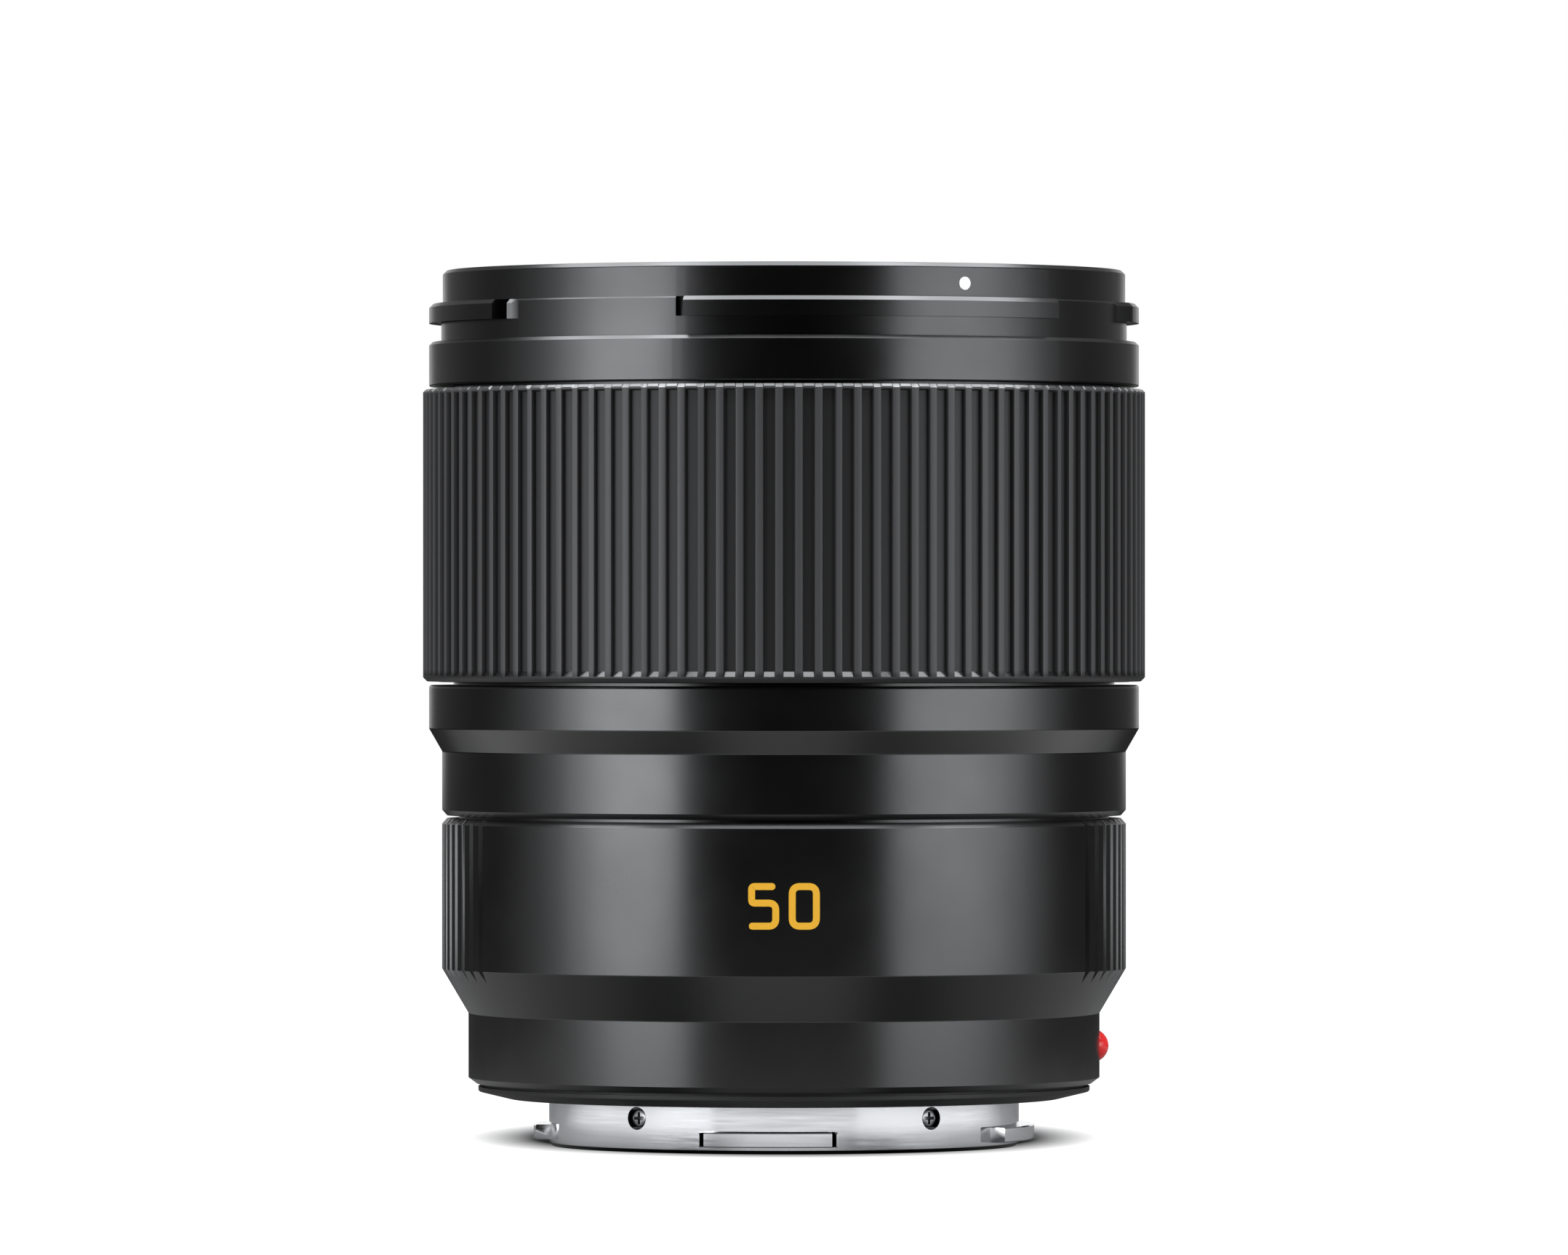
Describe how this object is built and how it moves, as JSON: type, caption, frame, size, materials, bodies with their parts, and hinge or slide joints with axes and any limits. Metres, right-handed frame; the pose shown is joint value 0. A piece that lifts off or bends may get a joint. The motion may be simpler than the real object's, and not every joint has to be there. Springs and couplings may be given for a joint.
{
  "type": "prime camera lens",
  "caption": "Autofocus prime lens for a mirrorless camera, black barrel with a ribbed rubber focus ring, front hood bayonet and filter rim, and a bright steel rear bayonet.",
  "frame": {"origin": "centre of the bayonet's rear end, on the optical axis", "axes": "+Z along the optical axis towards the front, -Y towards the picture's camera, +X towards the red mounting bead"},
  "size_m": [0.073, 0.073, 0.0883],
  "materials": {
    "anodised_black": "satin black anodised",
    "black_plastic": "matt black moulding",
    "rubber": "matt ribbed rubber",
    "steel": "bright turned",
    "glass": "polished and coated",
    "gilt_contact": "gold plated",
    "brass": "cut brass",
    "circuit_board": "solder mask",
    "red_paint": "glossy red"
  },
  "bodies": {
    "lens_body": {"front_barrel": "anodised_black", "front_retainer": "black_plastic", "front_cell": "anodised_black", "front_element": "glass", "second_element": "glass", "third_element": "glass", "main_barrel": "anodised_black", "rear_barrel": "anodised_black", "index_bead": "red_paint", "mount_seal": "rubber", "bayonet_mount": "steel", "mount_screw_1": "steel", "mount_screw_2": "steel", "mount_screw_3": "steel", "mount_screw_4": "steel", "rear_baffle": "black_plastic", "contact_block": "black_plastic", "contact_pin_01": "gilt_contact", "contact_pin_02": "gilt_contact", "contact_pin_03": "gilt_contact", "contact_pin_04": "gilt_contact", "contact_pin_05": "gilt_contact", "contact_pin_06": "gilt_contact", "contact_pin_07": "gilt_contact", "contact_pin_08": "gilt_contact", "contact_pin_09": "gilt_contact", "contact_pin_10": "gilt_contact", "iris_base": "anodised_black", "iris_cover": "anodised_black", "iris_motor": "steel", "guide_rod_1": "steel", "guide_rod_2": "steel", "focus_motor": "steel", "rear_cell": "anodised_black", "rear_element": "glass", "rear_spacer": "anodised_black", "rear_inner_element": "glass", "main_board": "circuit_board", "focus_sensor": "black_plastic"},
    "focus_ring_body": {"focus_ring": "anodised_black", "focus_grip": "rubber"},
    "focus_group": {"focus_carriage": "anodised_black", "focus_element": "glass"},
    "lead_screw_body": {"lead_screw": "steel"},
    "iris_drive": {"iris_ring": "anodised_black"},
    "iris_pinion_body": {"iris_pinion": "brass"},
    "iris_blade_1_body": {"iris_blade_1": "anodised_black"},
    "iris_blade_2_body": {"iris_blade_2": "anodised_black"},
    "iris_blade_3_body": {"iris_blade_3": "anodised_black"},
    "iris_blade_4_body": {"iris_blade_4": "anodised_black"},
    "iris_blade_5_body": {"iris_blade_5": "anodised_black"},
    "iris_blade_6_body": {"iris_blade_6": "anodised_black"},
    "iris_blade_7_body": {"iris_blade_7": "anodised_black"},
    "iris_blade_8_body": {"iris_blade_8": "anodised_black"},
    "iris_blade_9_body": {"iris_blade_9": "anodised_black"}
  },
  "joints": [
    {"name": "focus_ring_turn", "type": "hinge", "parent": "lens_body", "child": "focus_ring_body", "pos_m": [0, 0, 0.0616], "axis": [0, 0, 1], "continuous": true},
    {"name": "focus_travel", "type": "slide", "parent": "lens_body", "child": "focus_group", "axis": [0, 0, 1], "range_m": [0, 0.006]},
    {"name": "lead_screw_turn", "type": "hinge", "parent": "lens_body", "child": "lead_screw_body", "pos_m": [0.01949, -0.01125, 0.04], "axis": [0, 0, 1], "range_deg": [0, 1081]},
    {"name": "iris_turn", "type": "hinge", "parent": "lens_body", "child": "iris_drive", "pos_m": [0, 0, 0.058], "axis": [0, 0, 1], "range_deg": [0, 60]},
    {"name": "iris_pinion_turn", "type": "hinge", "parent": "lens_body", "child": "iris_pinion_body", "pos_m": [-0.00944, 0.02594, 0.058], "axis": [0, 0, 1], "range_deg": [-493, 0]},
    {"name": "iris_blade_1_turn", "type": "hinge", "parent": "lens_body", "child": "iris_blade_1_body", "pos_m": [0, -0.017, 0.055], "axis": [0, 0, 1], "range_deg": [0, 45.5]},
    {"name": "iris_blade_2_turn", "type": "hinge", "parent": "lens_body", "child": "iris_blade_2_body", "pos_m": [0.01093, -0.01302, 0.055], "axis": [0, 0, 1], "range_deg": [0, 45.5]},
    {"name": "iris_blade_3_turn", "type": "hinge", "parent": "lens_body", "child": "iris_blade_3_body", "pos_m": [0.01674, -0.00295, 0.055], "axis": [0, 0, 1], "range_deg": [0, 45.5]},
    {"name": "iris_blade_4_turn", "type": "hinge", "parent": "lens_body", "child": "iris_blade_4_body", "pos_m": [0.01472, 0.0085, 0.055], "axis": [0, 0, 1], "range_deg": [0, 45.5]},
    {"name": "iris_blade_5_turn", "type": "hinge", "parent": "lens_body", "child": "iris_blade_5_body", "pos_m": [0.00581, 0.01597, 0.055], "axis": [0, 0, 1], "range_deg": [0, 45.5]},
    {"name": "iris_blade_6_turn", "type": "hinge", "parent": "lens_body", "child": "iris_blade_6_body", "pos_m": [-0.00581, 0.01597, 0.055], "axis": [0, 0, 1], "range_deg": [0, 45.5]},
    {"name": "iris_blade_7_turn", "type": "hinge", "parent": "lens_body", "child": "iris_blade_7_body", "pos_m": [-0.01472, 0.0085, 0.055], "axis": [0, 0, 1], "range_deg": [0, 45.5]},
    {"name": "iris_blade_8_turn", "type": "hinge", "parent": "lens_body", "child": "iris_blade_8_body", "pos_m": [-0.01674, -0.00295, 0.055], "axis": [0, 0, 1], "range_deg": [0, 45.5]},
    {"name": "iris_blade_9_turn", "type": "hinge", "parent": "lens_body", "child": "iris_blade_9_body", "pos_m": [-0.01093, -0.01302, 0.055], "axis": [0, 0, 1], "range_deg": [0, 45.5]}
  ],
  "couplings": [
    {"joint": "lead_screw_turn", "follows": "focus_travel", "rad_per_m": 3141.6},
    {"joint": "iris_pinion_turn", "follows": "iris_turn", "ratio": -8.2},
    {"joint": "iris_blade_1_turn", "follows": "iris_turn", "ratio": 0.75},
    {"joint": "iris_blade_2_turn", "follows": "iris_turn", "ratio": 0.75},
    {"joint": "iris_blade_3_turn", "follows": "iris_turn", "ratio": 0.75},
    {"joint": "iris_blade_4_turn", "follows": "iris_turn", "ratio": 0.75},
    {"joint": "iris_blade_5_turn", "follows": "iris_turn", "ratio": 0.75},
    {"joint": "iris_blade_6_turn", "follows": "iris_turn", "ratio": 0.75},
    {"joint": "iris_blade_7_turn", "follows": "iris_turn", "ratio": 0.75},
    {"joint": "iris_blade_8_turn", "follows": "iris_turn", "ratio": 0.75},
    {"joint": "iris_blade_9_turn", "follows": "iris_turn", "ratio": 0.75}
  ]
}
